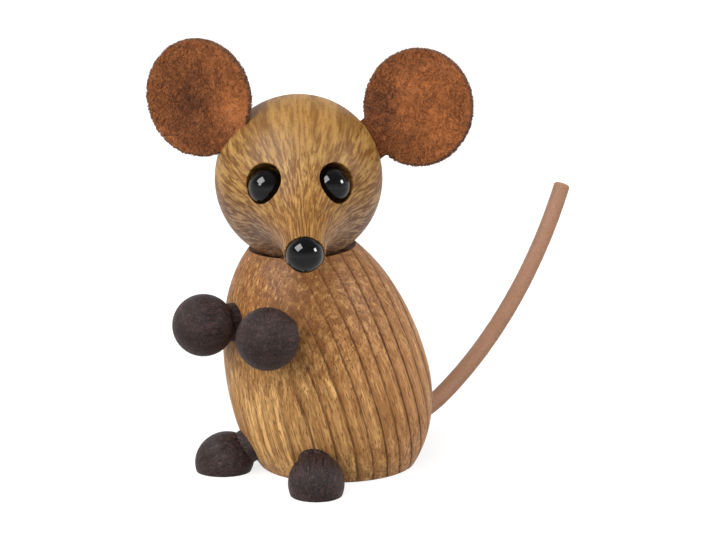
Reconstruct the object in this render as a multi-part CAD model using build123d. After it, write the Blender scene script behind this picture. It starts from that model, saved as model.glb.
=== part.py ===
"""Turned wooden mouse figurine with a head that swivels on a dowel.

Millimetres and degrees. The mouse's body faces -Y, its left is +X and +Z is up. The origin lies on the
floor, where the axis that the body is turned on meets it. The head is drawn looking to the mouse's left.
"""
from build123d import *
from math import cos, radians, sin, sqrt, tan
import os

# Body: two half-ellipses turned on a leaning axis. Lengths along that axis start at the floor.
body_radius = 21.5
body_waist_height = 18.2
body_crown_length = 39.4
body_foot_length = 27.1
body_lean_angle = 20.4
body_base_round = 0.6

# Head: a ball that flares into a snout. It stands over the body on a vertical swivel axis.
head_radius = 17.5
head_forward = 16.1
head_turn_angle = 45.0
snout_length = 34.0
snout_drop_angle = 15.9
snout_flare_angle = 48.0
snout_tip_wall = 0.35

# Dish in the crown of the body, wider than the ball so that the snout passes over it. Its depth is the
# height from its lowest point to the pole of the turned shape, which it cuts away.
dish_radius = 22.5
dish_depth = 7.74
seat_gap = 0.15

# Sanded edges of the head: the snout's tip and the mouths of the eye bores.
soft_edge = 0.2

# Neck dowel: glued in the head, turning in the body.
dowel_radius = 3.0
dowel_in_head = 12.0
dowel_in_body = 10.0
dowel_running_gap = 0.05
dowel_end_gap = 0.3
glue_gap = 0.02

# Beads for the nose and the eyes. An eye's bore looks up from straight out of the ball, and its bead lies
# low in it, because the bore is wider. The bores are drilled by hand, so the two differ.
bead_radius = 3.8
nose_bore_gap = 0.05
eye_bore_gap = 0.43
eye_sink = 1.5
eye_tilt_angle = 14.0
left_eye_snout_angle = 31.5
left_eye_round_angle = 48.6
right_eye_snout_angle = 33.2
right_eye_round_angle = 51.5

# Ears: discs with a tongue that sits in a kerf. Each one is set by hand, so the two differ.
ear_radius = 12.35
ear_thickness = 1.2
ear_tongue_width = 9.0
ear_tongue_length = 2.5
left_ear_side = 24.9
left_ear_rise = 14.7
left_ear_turn_angle = 26.7
left_ear_tilt_angle = 8.3
right_ear_side = 20.6
right_ear_rise = 17.1
right_ear_turn_angle = 28.8
right_ear_tilt_angle = 0.7

# Hands: balls on collars that point straight out of the body's axis, level with the floor.
hand_radius = 6.5
hand_height = 34.3
hand_reach = 24.5
hand_spread_angle = 22.0
hand_collar_radius = 4.0

# Feet: ovoids on collars that drop towards the floor, sawn flat on it.
foot_radius = 5.9
foot_half_length = 6.5
foot_side = 13.3
foot_forward = 25.4
foot_height = 2.35
foot_spread_angle = 43.9
foot_drop_angle = 31.0
foot_collar_radius = 3.7

# Tenons of the hands and feet.
tenon_radius = 2.0
tenon_length = 8.0
tenon_end_gap = 0.5

# Tail: round leather that leaves the back level and rises in two bends.
tail_radius = 1.9
tail_height = 4.5
tail_exit = 14.4
tail_in_body = 6.0
tail_root_bend = 39.4
tail_root_angle = 26.5
tail_tip_bend = 93.3
tail_tip_angle = 36.7

lean = radians(body_lean_angle)
seat_height = (body_waist_height + body_crown_length) * cos(lean) - dish_depth
ball_bottom = seat_height + seat_gap
head_centre = Vector(0, -head_forward, ball_bottom + head_radius)
left, right = 1, -1


def turned(outline):
    """Turn an outline, drawn as radius and height, about the Z axis."""
    return revolve(Plane.XZ * make_face(outline), Axis.Z)


def aimed(azimuth, climb):
    """Unit direction: azimuth runs from the mouse's front to its left, climb from level to up."""
    level = cos(radians(climb))
    return Vector(sin(radians(azimuth)) * level, -cos(radians(azimuth)) * level, sin(radians(climb)))


def rod(frame, radius, start, end):
    """Round bar along a frame's axis, between two distances from its origin."""
    return frame * Pos(Z=start) * Cylinder(radius, end - start, align=(Align.CENTER, Align.CENTER, Align.MIN))


def above_floor(solid):
    return split(solid, bisect_by=Plane.XY, keep=Keep.TOP)


def quarter_ellipse(radius, waist, pole):
    """Outline from the widest ring, at the waist's height, to the pole on the axis."""
    weights = [1, sqrt(1 / 2), 1]
    return Bezier((radius, waist), (radius, pole), (0, pole), weights=weights)


def body_egg():
    crown = quarter_ellipse(body_radius, body_waist_height, body_waist_height + body_crown_length)
    foot = quarter_ellipse(body_radius, body_waist_height, body_waist_height - body_foot_length)
    return Rot(X=body_lean_angle) * turned([foot, crown, Line(crown @ 1, foot @ 1)])


def body_axis_at(height):
    """Point of the leaning axis at a height above the floor."""
    return Vector(0, -height * tan(lean), height)


def hand_frame(side):
    outward = aimed(side * hand_spread_angle, 0)
    return Plane(body_axis_at(hand_height) + outward * hand_reach, z_dir=outward)


def foot_frame(side):
    outward = aimed(side * foot_spread_angle, -foot_drop_angle)
    return Plane(Vector(side * foot_side, -foot_forward, foot_height), z_dir=outward)


def body_surface_depth(frame, egg):
    """Distance from a frame's origin back along its axis to the body's surface."""
    probe = Edge.make_line(frame.origin, frame.origin - frame.z_dir * body_radius)
    inside = egg.intersect(probe)
    return min((vertex.center() - frame.origin).length for vertex in inside.vertices())


def limb_frames():
    frames = {"left_hand": hand_frame(left), "right_hand": hand_frame(right)}
    frames |= {"left_foot": foot_frame(left), "right_foot": foot_frame(right)}
    return frames


def swivel_frame(height):
    return Plane(Vector(0, -head_forward, height), z_dir=(0, 0, 1))


def make_body(egg):
    body = above_floor(egg)
    body = fillet(body.edges().group_by(Axis.Z)[0], body_base_round)
    body -= Pos(0, -head_forward, seat_height + dish_radius) * Sphere(dish_radius)
    bore_depth = dowel_in_body + dowel_end_gap
    body -= rod(swivel_frame(seat_height), dowel_radius + dowel_running_gap, -bore_depth, dish_radius)
    for frame in limb_frames().values():
        surface = body_surface_depth(frame, egg)
        socket_end = surface + tenon_length + tenon_end_gap
        body -= rod(frame, tenon_radius + glue_gap, -socket_end, 0)
    tail_bore = Plane((0, tail_exit - tail_in_body, tail_height), z_dir=(0, 1, 0))
    body -= rod(tail_bore, tail_radius + glue_gap, 0, body_radius)
    return body


def make_limb(frame, ball, collar_radius, egg):
    """Ball and collar scribed to the body's surface, with the tenon that goes into it."""
    surface = body_surface_depth(frame, egg)
    limb = frame * ball + rod(frame, collar_radius, -surface - collar_radius, 0)
    limb -= egg
    return limb + rod(frame, tenon_radius, -surface - tenon_length, 0)


def make_hand(side, egg):
    return make_limb(hand_frame(side), Sphere(hand_radius), hand_collar_radius, egg)


def make_foot(side, egg):
    outer = quarter_ellipse(foot_radius, 0, foot_half_length)
    inner = quarter_ellipse(foot_radius, 0, -foot_half_length)
    ball = turned([outer, inner, Line(outer @ 1, inner @ 1)])
    return above_floor(make_limb(foot_frame(side), ball, foot_collar_radius, egg))


def snout_frame():
    """At the ball's centre: X to the mouse's left, Y up over the face, Z out along the snout."""
    mouse_left = aimed(head_turn_angle + 90, 0)
    return Plane(head_centre, x_dir=mouse_left, z_dir=aimed(head_turn_angle, -snout_drop_angle))


def head_blank():
    """Ball and flared snout as they come off the lathe."""
    flare = radians(snout_flare_angle)
    ball = CenterArc((0, 0), head_radius, -90, 180 - snout_flare_angle)
    tip = (bead_radius + nose_bore_gap + snout_tip_wall, snout_length)
    snout = TangentArc([ball @ 1, tip], tangent=(-cos(flare), sin(flare)))
    end = Line(tip, (0, snout_length))
    return snout_frame() * turned([ball, snout, end, Line(end @ 1, ball @ 0)])


def eye_frame(side, snout_angle, round_angle):
    """At the mouth of an eye's bore: X level to the mouse's left, Y up the face, Z out of the bore."""
    face = snout_frame()
    away, over = radians(snout_angle), radians(side * round_angle)
    sideways = face.x_dir * sin(over) + face.y_dir * cos(over)
    outward = face.z_dir * cos(away) + sideways * sin(away)
    level = Axis.Z.direction.cross(outward)
    straight = Plane(head_centre + outward * head_radius, x_dir=level, z_dir=outward)
    return straight.rotated((-eye_tilt_angle, 0, 0))


def eye_frames():
    return {
        left: eye_frame(left, left_eye_snout_angle, left_eye_round_angle),
        right: eye_frame(right, right_eye_snout_angle, right_eye_round_angle),
    }


def ear_frame(side, out, rise, turn, tilt):
    """At an ear's centre: X away from the head in the ear's plane, Z out of its front face."""
    centre = head_centre + aimed(head_turn_angle + 90, 0) * side * out + Vector(0, 0, rise)
    front = aimed(head_turn_angle - turn, tilt)
    away = centre - head_centre
    return Plane(centre, x_dir=away - front * away.dot(front), z_dir=front)


def ear_frames():
    return {
        "left_ear": ear_frame(left, left_ear_side, left_ear_rise, left_ear_turn_angle, left_ear_tilt_angle),
        "right_ear": ear_frame(
            right, right_ear_side, right_ear_rise, right_ear_turn_angle, right_ear_tilt_angle
        ),
    }


def make_ear(frame, margin):
    """Disc and tongue. The margin makes the same shape larger all round, for the kerf."""
    thickness = ear_thickness + 2 * margin
    reach = ear_radius + ear_tongue_length + margin
    width = ear_tongue_width + 2 * margin
    disc = Cylinder(ear_radius + margin, thickness)
    tongue = Box(reach, width, thickness, align=(Align.MAX, Align.CENTER, Align.CENTER))
    return frame * (disc + tongue)


def make_head():
    head = head_blank()
    tip = snout_frame().offset(snout_length)
    head = fillet(head.edges().filter_by(GeomType.CIRCLE).sort_by_distance(tip.origin)[0], soft_edge)
    eye_depth = eye_sink + bead_radius + glue_gap
    for frame in eye_frames().values():
        head -= rod(frame, bead_radius + eye_bore_gap, -eye_depth, head_radius)
    bore_mouths = head.edges().filter_by(GeomType.BSPLINE).sort_by(SortBy.LENGTH)[-2:]
    head = fillet(bore_mouths, soft_edge)
    head -= rod(tip, bead_radius + nose_bore_gap, -bead_radius - glue_gap, bead_radius)
    for frame in ear_frames().values():
        head -= make_ear(frame, glue_gap)
    bore_top = dowel_in_head + glue_gap
    head -= rod(swivel_frame(ball_bottom), dowel_radius + glue_gap, -head_radius, bore_top)
    return head


def make_neck_dowel():
    return rod(swivel_frame(ball_bottom), dowel_radius, -dowel_in_body - seat_gap, dowel_in_head)


def make_nose():
    return snout_frame().offset(snout_length) * Sphere(bead_radius)


def make_eye(side):
    return eye_frames()[side] * Pos(Y=glue_gap - eye_bore_gap, Z=-eye_sink) * Sphere(bead_radius)


def make_tail():
    root = Line((tail_exit - tail_in_body, tail_height), (tail_exit, tail_height))
    low = JernArc(root @ 1, root % 1, tail_root_bend, tail_root_angle)
    high = JernArc(low @ 1, low % 1, tail_tip_bend, tail_tip_angle)
    path = Plane.YZ * (root + low + high)
    section = Plane(path @ 0, z_dir=path % 0) * Circle(tail_radius)
    return sweep(section, path=path)


def make_pieces():
    egg = body_egg()
    pieces = {"body": make_body(egg), "head": make_head(), "neck_dowel": make_neck_dowel()}
    for name, side in (("left", left), ("right", right)):
        pieces[name + "_hand"] = make_hand(side, egg)
        pieces[name + "_foot"] = make_foot(side, egg)
        pieces[name + "_eye"] = make_eye(side)
    for name, frame in ear_frames().items():
        pieces[name] = make_ear(frame, 0)
    pieces["nose"] = make_nose()
    pieces["tail"] = make_tail()
    return pieces


os.makedirs("parts", exist_ok=True)
for name, piece in make_pieces().items():
    export_step(piece, "parts/" + name + ".step")
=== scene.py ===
"""Looks of a turned wooden mouse: oiled oak, smoked wood, suede ears, gloss beads and a leather tail.

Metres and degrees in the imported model's frame: the body faces -Y, its left is +X and +Z is up. Materials
are drawn in millimetres, and wood along its own grain. Colours are linear.
"""
from math import cos, exp, pi, radians, sin, sqrt
from random import Random

import bpy
from mathutils import Matrix, Vector, noise


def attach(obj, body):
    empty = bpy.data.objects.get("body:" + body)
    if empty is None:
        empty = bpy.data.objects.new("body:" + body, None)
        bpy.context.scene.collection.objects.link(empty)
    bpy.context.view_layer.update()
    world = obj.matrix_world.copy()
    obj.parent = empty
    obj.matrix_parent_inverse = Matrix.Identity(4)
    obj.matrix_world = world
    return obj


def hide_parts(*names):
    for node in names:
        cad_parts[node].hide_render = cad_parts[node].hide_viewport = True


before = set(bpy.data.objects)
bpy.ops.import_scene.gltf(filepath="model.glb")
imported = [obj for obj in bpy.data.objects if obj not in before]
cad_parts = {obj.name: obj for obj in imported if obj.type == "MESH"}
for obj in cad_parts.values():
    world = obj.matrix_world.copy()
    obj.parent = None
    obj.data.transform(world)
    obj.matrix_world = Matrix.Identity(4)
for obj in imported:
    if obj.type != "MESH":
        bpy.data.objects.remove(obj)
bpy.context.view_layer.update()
mm = 0.001
left, right = 1, -1
upward = Vector((0, 0, 1))
plain_frame = Matrix.Identity(4)

# Camera, found from the outlines of the turned parts.
camera_azimuth = 41.82
camera_elevation = 12.32
camera_distance = 0.6017
camera_target = Vector((0.00922, -0.00785, 0.04422))
camera_lens = 144.07
camera_near, camera_far = 0.05, 20

# Lamps: where each one stands along the camera's right, up and back, its side, its turn and its power.
lamp_distance = 0.8
lamps = {
    "key_gloss": dict(gives="gloss", direction=(-0.547, 0.586, 0.598), size=0.50, spin=63, power=14.5),
    "key_light": dict(gives="light", direction=(-0.50, 0.52, 0.69), size=1.20, spin=63, power=13.0),
    "side_gloss": dict(gives="gloss", direction=(0.879, 0.356, 0.319), size=0.22, spin=0, power=6.4),
    "side_light": dict(gives="light", direction=(0.879, 0.356, 0.319), size=0.22, spin=0, power=3.7),
}

# Studio: levels of the surround and its white parts, what is added where they are seen, and where they lie.
surround_level = 0.15
white_level = 0.34
seen_gain = 1.5
sweep_behind_zone = (0.05, 0.6)
sweep_height_zone = (0.9, 0.6)
band_height_zone = (0.5, 0.0)

# Floor: how much light it sends back, and the glow that is added where it is seen, near and far.
floor_grey = 0.32
floor_glow = 0.78
floor_far_glow = 0.35
floor_glow_zone = (0.15, 0.6)
floor_radius = 4.0
floor_sides = 96

# Head: the ball, and where the snout points.
head_radius = 17.5 * mm
head_centre = Vector((0, -0.0161, 0.0639))
head_turn = 45.0
snout_drop = 15.9

# Body, hands and feet: the axes that they are turned on, and the way from one year ring to the next.
body_lean = 20.4
body_ring_normal = Vector((0.295, 0.955, 0))
hand_spread = 22.0
foot_spread = 43.9
foot_drop = 31.0

# Ears: how far out and up of the ball's centre, and how each one is turned and tilted.
ear_radius = 12.2 * mm
ear_half_thickness = 0.6 * mm
ear_tongue_half_width = 4.5 * mm
ear_tongue_length = 2.5 * mm
ear_places = {
    "left_ear": dict(side=left, out=24.9 * mm, rise=14.7 * mm, turn=26.7, tilt=8.3),
    "right_ear": dict(side=right, out=20.6 * mm, rise=17.1 * mm, turn=28.8, tilt=0.7),
}

# Ear wear, and painted shade beside the head: where in the ear's plane, how wide, how much paler or darker.
ear_wear_and_shade = {
    # The left ear's first place, darker beside the head, is painted shadow of the head.
    "left_ear": ((-6.5, 4.0, 5.0, -0.40), (1.5, -2.0, 9.0, 0.50)),
    "right_ear": ((-5.8, -5.2, 4.5, 0.55), (0.5, 1.0, 5.5, -0.28), (3.0, -8.0, 4.0, 0.25)),
}
nap_tone_ground = 0.5
patch_raggedness = 0.8
patch_ragged_size = 1.6 * mm

# Suede: the height and size of its crumples, the rough cut edge, and the mesh that carries them.
coarse_nap = dict(height=0.07 * mm, size=0.45 * mm)
fine_nap = dict(height=0.05 * mm, size=0.2 * mm)
ear_warp = dict(height=0.25 * mm, size=9 * mm)
ear_edge_roughness = 0.45 * mm
ear_edge_waves = 42
ear_edge_face_shift = 0.7
ear_edge_fade = 8
ear_seed_range = 50
ear_rounding_start_share, ear_rounding_reach_share = 0.97, 0.035
ear_dark_rim_share = 0.05
ear_spokes, ear_rings = 300, 54

# Fibres of the suede: how many, how far inside the edge they start, ranges of length and width in
# millimetres, and ranges of tone.
face_fibres = dict(count=9000, margin=0.3 * mm, lengths=(0.4, 1.1), widths=(0.035, 0.06), shades=(-0.5, 0.9))
edge_fibres = dict(count=1300, margin=0.15 * mm, lengths=(0.25, 0.6), widths=(0.04, 0.08), shades=(0.3, 1.1))
edge_fibre_darks = (0.0, 0.6)
edge_fibre_levels = (-0.8, 0.8)
edge_fibre_leans = (-0.9, 0.9)
edge_fibre_climbs = (-0.4, 0.4)
edge_fibre_half_turn_share = 0.86
fibre_root_level_share = 0.96
fibre_curl = 1.1
fibre_sides = 3

# Tail: the route of its middle, from inside the body to the tip, and its creases and soft tip edge.
tail_root_radius = 1.96 * mm
tail_tip_radius = 1.86 * mm
tail_start = Vector((0, 8.4 * mm, 4.5 * mm))
tail_straight = 6.0 * mm
tail_bends = ((39.4 * mm, 26.5), (93.3 * mm, 36.7))
tail_creases = ((0.03 * mm, 1.4 * mm), (0.015 * mm, 0.5 * mm))
tail_tip_edge = 0.35 * mm
tail_sides, tail_steps, tail_end_rings = 40, 220, 8

# Year rings, in millimetres: the gap between them, and how far they stray slowly, quickly and in jitters.
ring_gap = 3.4
ring_slow_stray = 1.1
ring_quick_stray = 0.308
ring_jitter = 0.22

# Zones of the body's oak, in millimetres of its grain frame: where each one starts and where it is full.
body_far_zone = (-14.0, 6.0)
body_front_zone = (6.0, -10.0)
body_shoulder_zone = (26.0, 40.0)
body_mottled_zone = (26.0, 42.0)
body_crown_zone = (32.0, 52.0)

# Flank, where the year rings show as lines: its zone, and how it draws back from the front above a height.
flank_zone = (-20.5, -16.0)
flank_retreat_height = 22.0
flank_retreat = 0.5

# Zones of the head's oak, in the same way, and how wide the calm middle of the fan of its flecks is.
# The lower zone also carries a painted greyish sheen of the floor, over the wood's duller tone.
head_lower_zone = (4.0, -5.0)
head_snout_zone = (15.0, 24.0)
head_face_zone = (16.0, 9.0)
fan_calm = 3.0

# Refraction and depth of the grain for each kind of surface. A low index keeps oiled and matt wood dull.
oiled_index = 1.27
smoked_index = 1.26
bead_index = 1.31
suede_index = 1.31
leather_index = 1.4
oak_depth = 0.07 * mm
smoked_depth = 0.08 * mm
beech_depth = 0.03 * mm
suede_depth = 0.2 * mm
leather_depth = 0.05 * mm


def aimed(azimuth, climb):
    """Unit direction: azimuth runs from the mouse's front to its left, climb from level to up."""
    a, c = radians(azimuth), radians(climb)
    return Vector((sin(a) * cos(c), -cos(a) * cos(c), sin(c)))


def axes_matrix(x, y, z, origin=Vector()):
    """Matrix whose columns are three axes, placed at an origin."""
    turn = Matrix((x, y, z)).transposed().to_4x4()
    return Matrix.Translation(origin) @ turn


def grain_frame(along, across, origin=Vector()):
    """Frame of a piece of wood: Z along the fibres, X from one year ring to the next."""
    z = along.normalized()
    x = (across - z * across.dot(z)).normalized()
    return axes_matrix(x, z.cross(x), z, origin)


class Nodes:
    """A node tree. Each method adds nodes to it and returns the last one's output."""

    def __init__(self, tree):
        self.tree = tree

    def put(self, socket, value):
        """Link a socket to an output, or set it to a plain value."""
        if isinstance(value, bpy.types.NodeSocket):
            self.tree.links.new(value, socket)
        else:
            socket.default_value = value

    def add(self, kind, *values, **settings):
        """The new node itself, with values on its first inputs."""
        node = self.tree.nodes.new(kind)
        for key, value in settings.items():
            setattr(node, key, value)
        for socket, value in zip(node.inputs, values):
            self.put(socket, value)
        return node

    def maths(self, operation, *values):
        return self.add("ShaderNodeMath", *values, operation=operation).outputs[0]

    def total(self, *values):
        result = values[0]
        for value in values[1:]:
            result = self.maths("ADD", result, value)
        return result

    def product(self, *values):
        result = values[0]
        for value in values[1:]:
            result = self.maths("MULTIPLY", result, value)
        return result

    def scaled(self, vector, factors):
        return self.add("ShaderNodeVectorMath", vector, factors, operation="MULTIPLY").outputs[0]

    def length(self, vector):
        return self.add("ShaderNodeVectorMath", vector, operation="LENGTH").outputs["Value"]

    def split(self, vector):
        return self.add("ShaderNodeSeparateXYZ", vector).outputs[:3]

    def joined(self, x, y, z):
        return self.add("ShaderNodeCombineXYZ", x, y, z).outputs[0]

    def in_frame(self, matrix):
        """Position in a frame of the piece, in millimetres."""
        place = self.add("ShaderNodeTexCoord").outputs["Object"]
        mapping = self.add("ShaderNodeMapping", place, vector_type="TEXTURE")
        mapping.inputs["Location"].default_value = matrix.to_translation()
        mapping.inputs["Rotation"].default_value = matrix.to_euler("XYZ")
        return self.scaled(mapping.outputs[0], (1 / mm, 1 / mm, 1 / mm))

    def grain(self, place, stretch, detail=2.0, roughness=0.5):
        """Noise about 0.5, with so many features per millimetre along each axis."""
        texture = self.add("ShaderNodeTexNoise", noise_dimensions="3D")
        self.put(texture.inputs["Vector"], self.scaled(place, stretch))
        texture.inputs["Scale"].default_value = 1.0
        texture.inputs["Detail"].default_value = detail
        texture.inputs["Roughness"].default_value = roughness
        return texture.outputs["Fac"]

    def rise(self, value, low, high):
        """0 below low, 1 above high and smooth between."""
        node = self.add("ShaderNodeMapRange", value, low, high, 0.0, 1.0, interpolation_type="SMOOTHSTEP")
        return node.outputs["Result"]

    def marks(self, place, stretch, low, high, detail=2.0, roughness=0.5):
        """Marks in the grain: 1 where its noise is above high, and 0 below low."""
        return self.rise(self.grain(place, stretch, detail, roughness), low, high)

    def ramp(self, value, *stops):
        """Curve through (place, level) stops, both from 0 to 1."""
        node = self.add("ShaderNodeValToRGB", value)
        elements = node.color_ramp.elements
        while len(elements) < len(stops):
            elements.new(0.5)
        for element, (place, level) in zip(elements, stops):
            element.position = place
            element.color = (level, level, level, 1)
        return node.outputs["Color"]

    def mix(self, factor, first, second):
        """From the first colour to the second."""
        node = self.add("ShaderNodeMix", data_type="RGBA")
        self.put(node.inputs[0], factor)
        for socket, value in zip(node.inputs[6:8], (first, second)):
            self.put(socket, value if isinstance(value, bpy.types.NodeSocket) else (*value, 1))
        return node.outputs[2]

    def cover(self, colour, tone, *amounts):
        """The colour with a tone laid over it, as strongly as the amounts multiplied."""
        return self.mix(self.product(*amounts), colour, tone)

    def attribute(self, name):
        return self.add("ShaderNodeAttribute", attribute_name=name).outputs["Fac"]


class Look(Nodes):
    """A material, with constants on its shader's sockets."""

    def __init__(self, name, **constants):
        self.material = bpy.data.materials.new(name)
        self.material.use_nodes = True
        super().__init__(self.material.node_tree)
        self.shader = self.tree.nodes["Principled BSDF"]
        for key, value in constants.items():
            self.shader.inputs[key.replace("_", " ")].default_value = value

    def finish(self, colour, roughness, height=None, depth=0.0):
        """Link the colour, the roughness and a bump whose full height is a real depth in metres."""
        self.put(self.shader.inputs["Base Color"], colour)
        self.put(self.shader.inputs["Roughness"], roughness)
        if height is not None:
            bump = self.add("ShaderNodeBump")
            bump.inputs["Distance"].default_value = depth
            self.put(bump.inputs["Height"], height)
            self.put(self.shader.inputs["Normal"], bump.outputs[0])
        return self.material


def year_lines(look, place):
    """Year rings as nearly flat sheets: the strength of their dark, sharp side and of their soft side."""
    across = look.split(place)[0]
    slow = look.grain(place, (0.05, 0.05, 0.010))
    quick = look.grain(place, (0.45, 0.45, 0.03))
    jitter = look.product(look.grain(place, (1.6, 1.6, 0.14)), ring_jitter)
    stray = look.total(look.product(slow, ring_slow_stray), look.product(quick, ring_quick_stray), jitter)
    rings = look.maths("DIVIDE", look.total(across, stray), ring_gap)
    turn = look.maths("FRACT", rings)
    year = look.add("ShaderNodeTexWhiteNoise", noise_dimensions="1D")
    look.put(year.inputs["W"], look.maths("FLOOR", rings))
    strength = look.total(0.62, look.product(year.outputs["Value"], 0.38))
    vessels = look.marks(place, (2.0, 2.0, 0.10), 0.40, 0.52, 3.0)
    broken = look.total(0.6, look.product(vessels, 0.4))
    sharp = look.ramp(turn, (0.0, 1.0), (0.08, 1.0), (0.125, 0.0), (0.960, 0.0), (0.98, 1.0))
    soft = look.ramp(turn, (0.0, 1.0), (0.14, 0.7), (0.40, 0.0), (0.92, 0.0), (1.0, 1.0))
    return look.product(sharp, strength, broken), look.product(soft, strength)


def body_oak(name, grain):
    """Oiled oak, sawn so that its year rings run as dark lines up the body, mottled over the shoulders."""
    look = Look(name, IOR=oiled_index)
    place = look.in_frame(grain)
    across, along = look.split(place)[::2]
    dark, soft = year_lines(look, place)
    above = look.maths("MAXIMUM", look.total(along, -flank_retreat_height), 0.0)
    flank = look.rise(look.total(across, look.product(above, -flank_retreat)), *flank_zone)

    pores = look.marks(place, (3.6, 3.6, 0.42), 0.57, 0.66, 1.0)
    fibres = look.marks(place, (1.9, 1.9, 0.03), 0.42, 0.58, 1.5)
    streaks = look.marks(place, (0.8, 0.8, 0.014), 0.43, 0.57, 2.0, 0.6)
    bands = look.marks(place, (0.34, 0.34, 0.006), 0.42, 0.58, 3.0)
    blotch = look.marks(place, (0.8, 0.8, 0.36), 0.45, 0.56, 3.0, 0.7)
    flakes = look.marks(place, (0.6, 2.0, 0.22), 0.55, 0.66, 3.0, 0.6)
    shoulder = look.product(look.rise(along, *body_shoulder_zone), look.rise(across, *body_front_zone))
    high = look.rise(along, *body_mottled_zone)
    crown = look.rise(along, *body_crown_zone)
    far_side = look.rise(across, *body_far_zone)

    browned = look.total(look.product(crown, 0.60), look.product(shoulder, 0.55))
    mottled = look.total(0.12, look.product(high, 0.40), look.product(shoulder, 0.36))
    flecked = look.total(0.34, look.product(shoulder, 0.20))
    lined = look.total(0.94, look.product(crown, -0.45))
    colour = look.mix(far_side, (0.94, 0.552, 0.205), (0.66, 0.348, 0.138))
    colour = look.cover(colour, (0.32, 0.138, 0.032), browned)
    colour = look.cover(colour, (0.42, 0.185, 0.055), bands, 0.46)
    colour = look.cover(colour, (0.33, 0.140, 0.042), streaks, 0.56)
    colour = look.cover(colour, (0.25, 0.095, 0.025), fibres, 0.52)
    colour = look.cover(colour, (0.20, 0.070, 0.015), blotch, mottled)
    colour = look.cover(colour, (0.78, 0.45, 0.15), flakes, flecked)
    colour = look.cover(colour, (0.20, 0.062, 0.014), soft, flank, 0.68)
    colour = look.cover(colour, (0.090, 0.030, 0.009), pores, 0.66)
    colour = look.cover(colour, (0.046, 0.014, 0.003), dark, flank, lined)

    roughness = look.total(0.48, look.product(fibres, 0.10), look.product(dark, 0.25))
    grooves = look.total(look.product(dark, flank, -0.7), look.product(pores, -0.4))
    height = look.total(grooves, look.product(fibres, -0.2))
    return look.finish(colour, roughness, height, oak_depth)


def snout_fan(look, place):
    """Place on the head as two directions round the snout and the distance back from its tip."""
    across, up, along = look.split(place)
    ball = head_radius / mm
    spread = look.length(look.scaled(place, (1, 1, 0)))
    widen = look.maths("DIVIDE", ball, look.total(spread, fan_calm))
    back = look.product(look.maths("ARCTAN2", spread, along), ball)
    return look.joined(look.product(across, widen), look.product(up, widen), back)


def head_oak(name, grain):
    """Oiled oak whose pale and brown flecks fan out from the nose; darker low down, with dull cheek patches
    and painted greyish floor sheen.
    """
    look = Look(name, IOR=oiled_index)
    place = look.in_frame(grain)
    up, along = look.split(place)[1:]
    fan = snout_fan(look, place)

    rays = look.grain(fan, (0.72, 0.72, 0.19), 3.0, 0.62)
    flakes = look.rise(rays, 0.51, 0.58)
    gaps = look.rise(rays, 0.48, 0.41)
    strokes = look.grain(fan, (1.6, 1.6, 0.24), 3.0, 0.6)
    pale = look.rise(strokes, 0.52, 0.59)
    brown = look.rise(strokes, 0.485, 0.41)
    columns = look.marks(fan, (0.62, 0.62, 0.02), 0.42, 0.58, 3.0)
    specks = look.marks(place, (1.9, 1.9, 1.2), 0.55, 0.66, 2.0, 0.7)
    patches = look.marks(place, (0.20, 0.24, 0.16), 0.50, 0.57, 3.0, 0.6)
    lower = look.rise(up, *head_lower_zone)
    snout = look.rise(along, *head_snout_zone)
    face = look.rise(up, *head_face_zone)

    flaked = look.total(0.10, look.product(face, 0.60))
    streaked = look.total(0.42, look.product(face, 0.40))
    brightened = look.total(0.20, look.product(face, 0.35))
    snout_tone = look.mix(columns, (0.315, 0.130, 0.022), (0.18, 0.068, 0.012))
    # Low on the head the strokes turn greyer: painted sheen of the white floor over the wood's own strokes.
    brown_tone = look.mix(lower, (0.140, 0.050, 0.006), (0.105, 0.048, 0.024))
    pale_tone = look.mix(lower, (0.47, 0.272, 0.082), (0.52, 0.355, 0.210))
    colour = look.mix(columns, (0.345, 0.176, 0.044), (0.215, 0.098, 0.020))
    colour = look.cover(colour, (0.165, 0.064, 0.009), gaps, face, 0.60)
    colour = look.cover(colour, (0.410, 0.235, 0.066), flakes, flaked)
    # Low on the head the oak is darker and greyer; its greyish tint is painted sheen of the white floor.
    colour = look.cover(colour, (0.225, 0.120, 0.066), lower, 0.74)
    colour = look.cover(colour, (0.135, 0.068, 0.044), patches, lower, 0.75)
    colour = look.cover(colour, snout_tone, snout, 0.66)
    colour = look.cover(colour, brown_tone, brown, streaked)
    colour = look.cover(colour, pale_tone, pale, brightened)
    colour = look.cover(colour, (0.125, 0.048, 0.012), specks, 0.34)

    roughness = look.total(0.44, look.product(rays, 0.12))
    height = look.total(look.product(brown, -0.4), look.product(pale, 0.3), look.product(specks, -0.2))
    return look.finish(colour, roughness, height, oak_depth)


def smoked_wood(name, grain):
    """Near-black smoked wood, matt, with pale fibres and specks along the grain."""
    look = Look(name, IOR=smoked_index)
    place = look.in_frame(grain)
    fibres = look.marks(place, (1.8, 1.8, 0.25), 0.40, 0.62, 4.0, 0.75)
    rings = look.marks(place, (0.9, 0.22, 0.05), 0.44, 0.58, 3.0)
    pores = look.marks(place, (3.0, 3.0, 0.5), 0.54, 0.62)
    specks = look.marks(place, (2.8, 2.8, 1.4), 0.58, 0.66)
    clouds = look.marks(place, (0.22, 0.22, 0.10), 0.42, 0.60, 3.0)
    colour = look.mix(fibres, (0.007, 0.0030, 0.0030), (0.054, 0.026, 0.023))
    colour = look.cover(colour, (0.058, 0.031, 0.028), clouds, 0.70)
    colour = look.cover(colour, (0.014, 0.006, 0.005), rings, 0.55)
    colour = look.cover(colour, (0.004, 0.002, 0.0025), pores, 0.7)
    colour = look.cover(colour, (0.125, 0.078, 0.070), specks, 0.42)
    roughness = look.total(0.46, look.product(fibres, 0.16))
    height = look.total(fibres, look.product(pores, -0.7))
    return look.finish(colour, roughness, height, smoked_depth)


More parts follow.
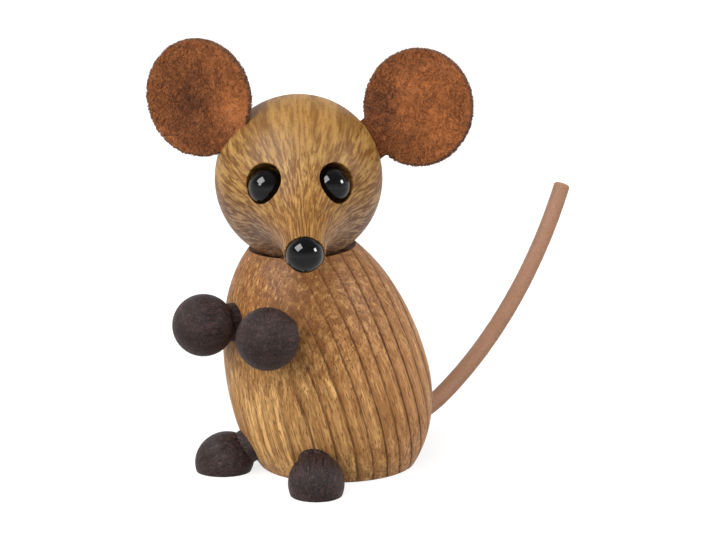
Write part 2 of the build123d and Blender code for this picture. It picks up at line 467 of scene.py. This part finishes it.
def beech(name, grain):
    """Plain beech of the dowel in the neck, with short flecks."""
    look = Look(name)
    place = look.in_frame(grain)
    fibres = look.grain(place, (2.5, 2.5, 0.08), 4.0)
    flecks = look.marks(place, (3.0, 1.2, 0.5), 0.60, 0.68)
    colour = look.mix(fibres, (0.56, 0.40, 0.24), (0.66, 0.50, 0.33))
    colour = look.cover(colour, (0.42, 0.26, 0.14), flecks)
    return look.finish(colour, 0.6, fibres, beech_depth)


def gloss_black(name):
    """Polished black bead, with the faint swirl of its colour under the surface."""
    look = Look(name, IOR=bead_index)
    swirl = look.grain(look.in_frame(plain_frame), (0.6, 0.6, 0.6), 3.0)
    colour = look.mix(swirl, (0.0012, 0.0010, 0.0013), (0.003, 0.0028, 0.003))
    return look.finish(colour, look.total(0.03, look.product(swirl, 0.03)))


def suede(name):
    """Reddish-brown suede with a short nap, rubbed darker in places, dark at the cut edge, with painted
    shade by the head.
    """
    sheen = {"Sheen_Weight": 0.12, "Sheen_Roughness": 0.5, "Sheen_Tint": (0.75, 0.42, 0.24, 1)}
    look = Look(name, IOR=suede_index, **sheen)
    place = look.in_frame(plain_frame)
    nap = look.grain(place, (2.7, 2.7, 2.7), 4.0, 0.8)
    clumps = look.grain(place, (0.8, 0.8, 0.8), 3.0, 0.6)
    rubbed = look.marks(place, (0.16, 0.16, 0.16), 0.5, 0.64, 3.0)
    # The tone attribute holds the ear's wear and its painted shade beside the head.
    wear_and_shade_tone = look.product(look.attribute("tone"), 0.4)
    tone = look.total(look.product(nap, 1.25), look.product(clumps, 0.25), wear_and_shade_tone)
    colour = look.mix(look.rise(tone, 0.66, 1.26), (0.052, 0.0115, 0.0030), (0.465, 0.152, 0.040))
    colour = look.cover(colour, (0.085, 0.024, 0.010), rubbed, 0.28)
    colour = look.cover(colour, (0.075, 0.040, 0.028), look.attribute("cut"))
    return look.finish(colour, 0.95, nap, suede_depth)


def tan_leather(name):
    """Natural round leather, matt and mottled, a little darker at its cut end."""
    look = Look(name, IOR=leather_index, Sheen_Weight=0.1)
    place = look.in_frame(plain_frame)
    pores = look.grain(place, (4.0, 2.2, 2.2), 3.0)
    blotches = look.marks(place, (0.35, 0.12, 0.12), 0.45, 0.65, 3.0)
    colour = look.mix(look.rise(pores, 0.3, 0.7), (0.290, 0.141, 0.074), (0.370, 0.190, 0.103))
    colour = look.cover(colour, (0.27, 0.125, 0.066), blotches, 0.4)
    colour = look.cover(colour, (0.25, 0.12, 0.06), look.attribute("cut"))
    return look.finish(colour, 0.7, pores, leather_depth)


def new_piece(name, points, faces, **attributes):
    """Mesh object with smooth faces and one float attribute of its points for each keyword."""
    mesh = bpy.data.meshes.new(name)
    mesh.from_pydata(points, [], faces)
    mesh.validate()
    mesh.shade_smooth()
    for key, values in attributes.items():
        mesh.attributes.new(key, "FLOAT", "POINT").data.foreach_set("value", values)
    piece = bpy.data.objects.new(name, mesh)
    bpy.context.scene.collection.objects.link(piece)
    return piece


def ear_matrix(side, out, rise, turn, tilt):
    """At an ear's centre: X away from the head in the ear's plane, Z out of its front face."""
    away = aimed(head_turn + 90, 0) * side * out + upward * rise
    front = aimed(head_turn - turn, tilt)
    x = (away - front * away.dot(front)).normalized()
    return axes_matrix(x, front.cross(x), front, head_centre + away)


def ear_outline(angle):
    """Distance from the ear's centre to its edge. The tongue points to -X, into the head."""
    reach, half_width = ear_radius + ear_tongue_length, ear_tongue_half_width
    if cos(angle) < 0 and abs(sin(angle)) * ear_radius < half_width:
        return min(reach / -cos(angle), half_width / max(abs(sin(angle)), mm))
    return ear_radius


def crumple(x, y, level, seed, height, size):
    """Smooth bumps of a height and size about zero, at a place in the ear's plane and on a level of it."""
    return height * noise.noise(Vector((x / size, y / size, level / size + seed)))


def nap_wear_and_shade(name, x, y):
    """How light the nap is at a place in an ear's plane, with its wear and its painted shade beside the
    head.
    """
    shade = nap_tone_ground
    for patch_x, patch_y, size, amount in ear_wear_and_shade[name]:
        away = ((x / mm - patch_x) ** 2 + (y / mm - patch_y) ** 2) / size ** 2
        ragged = 1 + crumple(x, y, 0, patch_x, patch_raggedness, patch_ragged_size)
        shade += amount * exp(-away) * ragged
    return shade


def ear_height(x, y, share, sign, seed):
    """Height of an ear's front or back face at a share of the way from its centre to its edge."""
    nap = crumple(x, y, sign, seed, **coarse_nap) + crumple(x, y, sign, seed, **fine_nap)
    past = max(0.0, (share - ear_rounding_start_share) / ear_rounding_reach_share)
    edge = ear_half_thickness * sqrt(max(0.0, 1 - past ** 2))
    return sign * (edge + nap) + crumple(x, y, 0, seed, **ear_warp)


def ear_skin(name, matrix, seed):
    """Closed disc with a crumpled nap on both faces and a rough cut edge."""
    points, faces, tone, cut = [], [], [], []

    def add(x, y, share, sign):
        points.append(matrix @ Vector((x, y, ear_height(x, y, share, sign, seed))))
        tone.append(nap_wear_and_shade(name, x, y))
        cut.append(max(0.0, (share - (1 - ear_dark_rim_share)) / ear_dark_rim_share))

    for sign in (1, -1):
        add(0, 0, 0, sign)
        for ring in range(1, ear_rings + 1):
            share = ring / ear_rings
            for spoke in range(ear_spokes):
                angle = 2 * pi * spoke / ear_spokes
                level = sign * ear_edge_face_shift + seed
                around = Vector((cos(angle), sin(angle), 0)) * ear_edge_waves + upward * level
                rough = share ** ear_edge_fade * ear_edge_roughness * noise.noise(around)
                radius = ear_outline(angle) * share + rough
                add(radius * cos(angle), radius * sin(angle), share, sign)

    half = len(points) // 2
    for face, turning in ((0, 1), (half, -1)):
        for spoke in range(ear_spokes):
            after = (spoke + 1) % ear_spokes
            faces.append((face, face + 1 + spoke, face + 1 + after)[::turning])
            for ring in range(ear_rings - 1):
                inner = face + 1 + ring * ear_spokes
                outer = inner + ear_spokes
                faces.append((inner + spoke, outer + spoke, outer + after, inner + after)[::turning])
    front_edge = 1 + (ear_rings - 1) * ear_spokes
    back_edge = half + front_edge
    for spoke in range(ear_spokes):
        after = (spoke + 1) % ear_spokes
        faces.append((front_edge + spoke, back_edge + spoke, back_edge + after, front_edge + after))
    return points, faces, tone, cut


def add_fibre(skin, root, along, lift, length, width, shade, dark):
    """One short curled fibre: a thin closed spike that leans over as it goes."""
    points, faces, tone, cut = skin
    start = len(points)
    across = along.cross(lift).normalized()
    for share, width_share in ((0.0, 1.0), (0.5, 0.8)):
        centre = root + along * length * share + lift * length * (share * (fibre_curl - share))
        for side in range(fibre_sides):
            angle = 2 * pi * side / fibre_sides
            points.append(centre + (across * cos(angle) + lift * sin(angle)) * width * width_share)
    points.append(root + along * length + lift * length * (fibre_curl - 1))
    middle, tip = start + fibre_sides, start + 2 * fibre_sides
    for side in range(fibre_sides):
        after = (side + 1) % fibre_sides
        faces.append((start + side, start + after, middle + after, middle + side))
        faces.append((middle + side, middle + after, tip))
    faces.append(tuple(range(start, middle))[::-1])
    tone.extend([shade] * (tip + 1 - start))
    cut.extend([dark] * (tip + 1 - start))


def add_face_fibre(skin, name, matrix, draw):
    """A fibre that lies on the front or the back of an ear."""
    turn = matrix.to_3x3()
    angle = draw.uniform(0, 2 * pi)
    radius = (ear_radius - face_fibres["margin"]) * sqrt(draw.random())
    sign = draw.choice((1, -1))
    x, y = radius * cos(angle), radius * sin(angle)
    root = Vector((x, y, sign * ear_half_thickness * fibre_root_level_share))
    lean = draw.uniform(0, 2 * pi)
    along = Vector((cos(lean), sin(lean), 0))
    length = draw.uniform(*face_fibres["lengths"]) * mm
    width = draw.uniform(*face_fibres["widths"]) * mm
    shade = nap_wear_and_shade(name, x, y) + draw.uniform(*face_fibres["shades"])
    add_fibre(skin, matrix @ root, turn @ along, turn @ (upward * sign), length, width, shade, 0)


def add_edge_fibre(skin, matrix, draw):
    """A fibre that stands out of the cut edge of an ear."""
    turn = matrix.to_3x3()
    angle = draw.uniform(-pi * edge_fibre_half_turn_share, pi * edge_fibre_half_turn_share)
    outward = Vector((cos(angle), sin(angle), 0))
    sideways = Vector((-sin(angle), cos(angle), 0))
    level = draw.uniform(*edge_fibre_levels) * ear_half_thickness
    root = outward * (ear_radius - edge_fibres["margin"]) + upward * level
    lean, climb = draw.uniform(*edge_fibre_leans), draw.uniform(*edge_fibre_climbs)
    along = (outward + sideways * lean + upward * climb).normalized()
    lift = along.cross(upward).normalized()
    length = draw.uniform(*edge_fibres["lengths"]) * mm
    width = draw.uniform(*edge_fibres["widths"]) * mm
    shade, dark = draw.uniform(*edge_fibres["shades"]), draw.uniform(*edge_fibre_darks)
    add_fibre(skin, matrix @ root, turn @ along, turn @ lift, length, width, shade, dark)


def suede_ear(name, material):
    """An ear of suede, with its fibres, in place of the plain disc."""
    matrix = ear_matrix(**ear_places[name])
    draw = Random(name)
    skin = ear_skin(name, matrix, draw.random() * ear_seed_range)
    for _ in range(face_fibres["count"]):
        add_face_fibre(skin, name, matrix, draw)
    for _ in range(edge_fibres["count"]):
        add_edge_fibre(skin, matrix, draw)
    points, faces, tone, cut = skin
    ear = new_piece(name + "_suede", points, faces, tone=tone, cut=cut)
    ear.data.materials.append(material)
    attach(ear, "head")
    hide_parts(name)


def tail_length():
    """Length of the tail's middle along its bends."""
    return tail_straight + sum(bend * radians(angle) for bend, angle in tail_bends)


def tail_at(distance):
    """Point and direction of the tail's middle at a distance from its start."""
    run = min(distance, tail_straight)
    place, climb = tail_start + Vector((0, run, 0)), 0.0
    distance -= run
    for bend, angle in tail_bends:
        turn = min(distance / bend, radians(angle))
        place += bend * Vector((0, sin(climb + turn) - sin(climb), cos(climb) - cos(climb + turn)))
        climb += turn
        distance -= turn * bend
    return place, Vector((0, cos(climb), sin(climb)))


def leather_tail(material):
    """Round leather with faint creases and a cut tip whose edge is rounded soft."""
    total = tail_length()
    across = Vector((1, 0, 0))
    last = tail_steps + tail_end_rings
    points, faces, cut = [], [], []
    for step in range(last + 1):
        share = min(step, tail_steps) / tail_steps
        inset = max(0, step - tail_steps) / tail_end_rings
        radius = tail_root_radius + (tail_tip_radius - tail_root_radius) * share
        to_tip = min(1.0, (total - total * share) / tail_tip_edge)
        softness = sqrt(max(0.0, 1 - (1 - to_tip) ** 2))
        ring_radius = (radius - tail_tip_edge * (1 - softness)) * (1 - inset)
        place, along = tail_at(total * share)
        up = across.cross(along)
        for side in range(tail_sides):
            angle = 2 * pi * side / tail_sides
            outward = across * cos(angle) + up * sin(angle)
            point = place + outward * ring_radius
            rough = sum(height * noise.noise(point / size) for height, size in tail_creases)
            points.append(point + (outward if inset == 0 else along) * rough)
            cut.append(1.0 if inset > 0 else 0.0)
    for step in range(last):
        ring, next_ring = step * tail_sides, (step + 1) * tail_sides
        for side in range(tail_sides):
            after = (side + 1) % tail_sides
            faces.append((ring + side, ring + after, next_ring + after, next_ring + side))
    faces.append(tuple(range(tail_sides))[::-1])
    tail = new_piece("tail_leather_cord", points, faces, cut=cut)
    tail.data.materials.append(material)
    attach(tail, "body")
    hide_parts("tail")


def dress(names, material):
    """Give CAD nodes a material in place of their plain one."""
    for name in names:
        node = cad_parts[name]
        for slot in range(len(node.data.materials)):
            node.data.materials[slot] = material


def view_axes():
    """Right, up and back of the camera."""
    a = radians(camera_azimuth)
    rightward = Vector((cos(a), sin(a), 0))
    back = aimed(camera_azimuth, camera_elevation)
    return rightward, back.cross(rightward), back


def add_camera():
    data = bpy.data.cameras.new("camera")
    data.lens = camera_lens
    data.clip_start = camera_near
    data.clip_end = camera_far
    camera = bpy.data.objects.new("camera", data)
    rightward, up, back = view_axes()
    camera.matrix_world = axes_matrix(rightward, up, back, camera_target + back * camera_distance)
    bpy.context.scene.collection.objects.link(camera)
    bpy.context.scene.camera = camera


def add_softbox(name, gives, direction, size, spin, power):
    """Square lamp that faces the object and gives either gloss, which is its mirror image, or light."""
    towards = sum((axis * share for axis, share in zip(view_axes(), direction)), Vector()).normalized()
    side = upward.cross(towards).normalized()
    data = bpy.data.lights.new(name, "AREA")
    data.shape = "SQUARE"
    data.size = size
    data.energy = power
    lamp = bpy.data.objects.new(name, data)
    stand = axes_matrix(side, towards.cross(side), towards, camera_target + towards * lamp_distance)
    lamp.matrix_world = stand @ Matrix.Rotation(radians(spin), 4, "Z")
    lamp.visible_glossy = gives == "gloss"
    lamp.visible_diffuse = gives == "light"
    bpy.context.scene.collection.objects.link(lamp)


def seen_plainly(nodes):
    """1 for what the camera sees, straight on or in something glossy or clear."""
    seen = nodes.add("ShaderNodeLightPath").outputs
    mirrored = nodes.maths("MAXIMUM", seen["Is Glossy Ray"], seen["Is Transmission Ray"])
    return nodes.maths("MAXIMUM", seen["Is Camera Ray"], mirrored)


def add_world():
    """Dim studio with a white sweep behind the object and a pale band round the horizon."""
    world = bpy.data.worlds.new("studio")
    world.use_nodes = True
    bpy.context.scene.world = world
    nodes = Nodes(world.node_tree)
    ray = nodes.add("ShaderNodeTexCoord").outputs["Generated"]
    behind = nodes.add("ShaderNodeVectorMath", ray, -aimed(camera_azimuth, 0), operation="DOT_PRODUCT")
    height = nodes.split(ray)[2]
    far_half = nodes.rise(behind.outputs["Value"], *sweep_behind_zone)
    sweep = nodes.product(far_half, nodes.rise(height, *sweep_height_zone))
    band = nodes.rise(height, *band_height_zone)
    white = nodes.product(nodes.maths("MAXIMUM", sweep, band), white_level)
    gain = nodes.total(1.0, nodes.product(seen_plainly(nodes), seen_gain))
    background = world.node_tree.nodes["Background"]
    background.inputs["Color"].default_value = (1, 1, 1, 1)
    nodes.put(background.inputs["Strength"], nodes.product(nodes.total(surround_level, white), gain))


def add_floor():
    """Round white floor. What the camera and gloss see of it is a little brighter than what it sends out."""
    angles = [2 * pi * corner / floor_sides for corner in range(floor_sides)]
    points = [(floor_radius * cos(angle), floor_radius * sin(angle), 0) for angle in angles]
    floor = new_piece("floor", points, [tuple(range(floor_sides))])
    look = Look("white_floor", IOR=1.0, Emission_Color=(1, 1, 1, 1))
    away = look.length(look.add("ShaderNodeTexCoord").outputs["Object"])
    glow = look.total(floor_glow, look.product(look.rise(away, *floor_glow_zone), floor_far_glow))
    look.put(look.shader.inputs["Emission Strength"], look.product(seen_plainly(look), glow))
    floor.data.materials.append(look.finish((floor_grey, floor_grey, floor_grey, 1), 1.0))


bpy.context.scene.view_settings.view_transform = "Standard"
add_camera()
for lamp_name, settings in lamps.items():
    add_softbox(lamp_name, **settings)
add_world()
add_floor()

head_grain = grain_frame(aimed(head_turn, -snout_drop), aimed(head_turn + 90, 0), head_centre)
body_grain = grain_frame(aimed(0, 90 - body_lean), body_ring_normal)
dress(["body"], body_oak("body_oak_look", body_grain))
dress(["head"], head_oak("head_oak_look", head_grain))
for side_name, side in (("left", left), ("right", right)):
    hand_grain = grain_frame(aimed(side * hand_spread, 0), upward)
    foot_grain = grain_frame(aimed(side * foot_spread, -foot_drop), upward)
    dress([side_name + "_hand"], smoked_wood(side_name + "_hand_look", hand_grain))
    dress([side_name + "_foot"], smoked_wood(side_name + "_foot_look", foot_grain))
dress(["neck_dowel"], beech("beech_look", plain_frame))
dress(["left_eye", "right_eye", "nose"], gloss_black("black_bead_look"))
suede_look = suede("ear_suede_look")
for ear_name in ear_places:
    suede_ear(ear_name, suede_look)
leather_tail(tan_leather("tail_leather_look"))
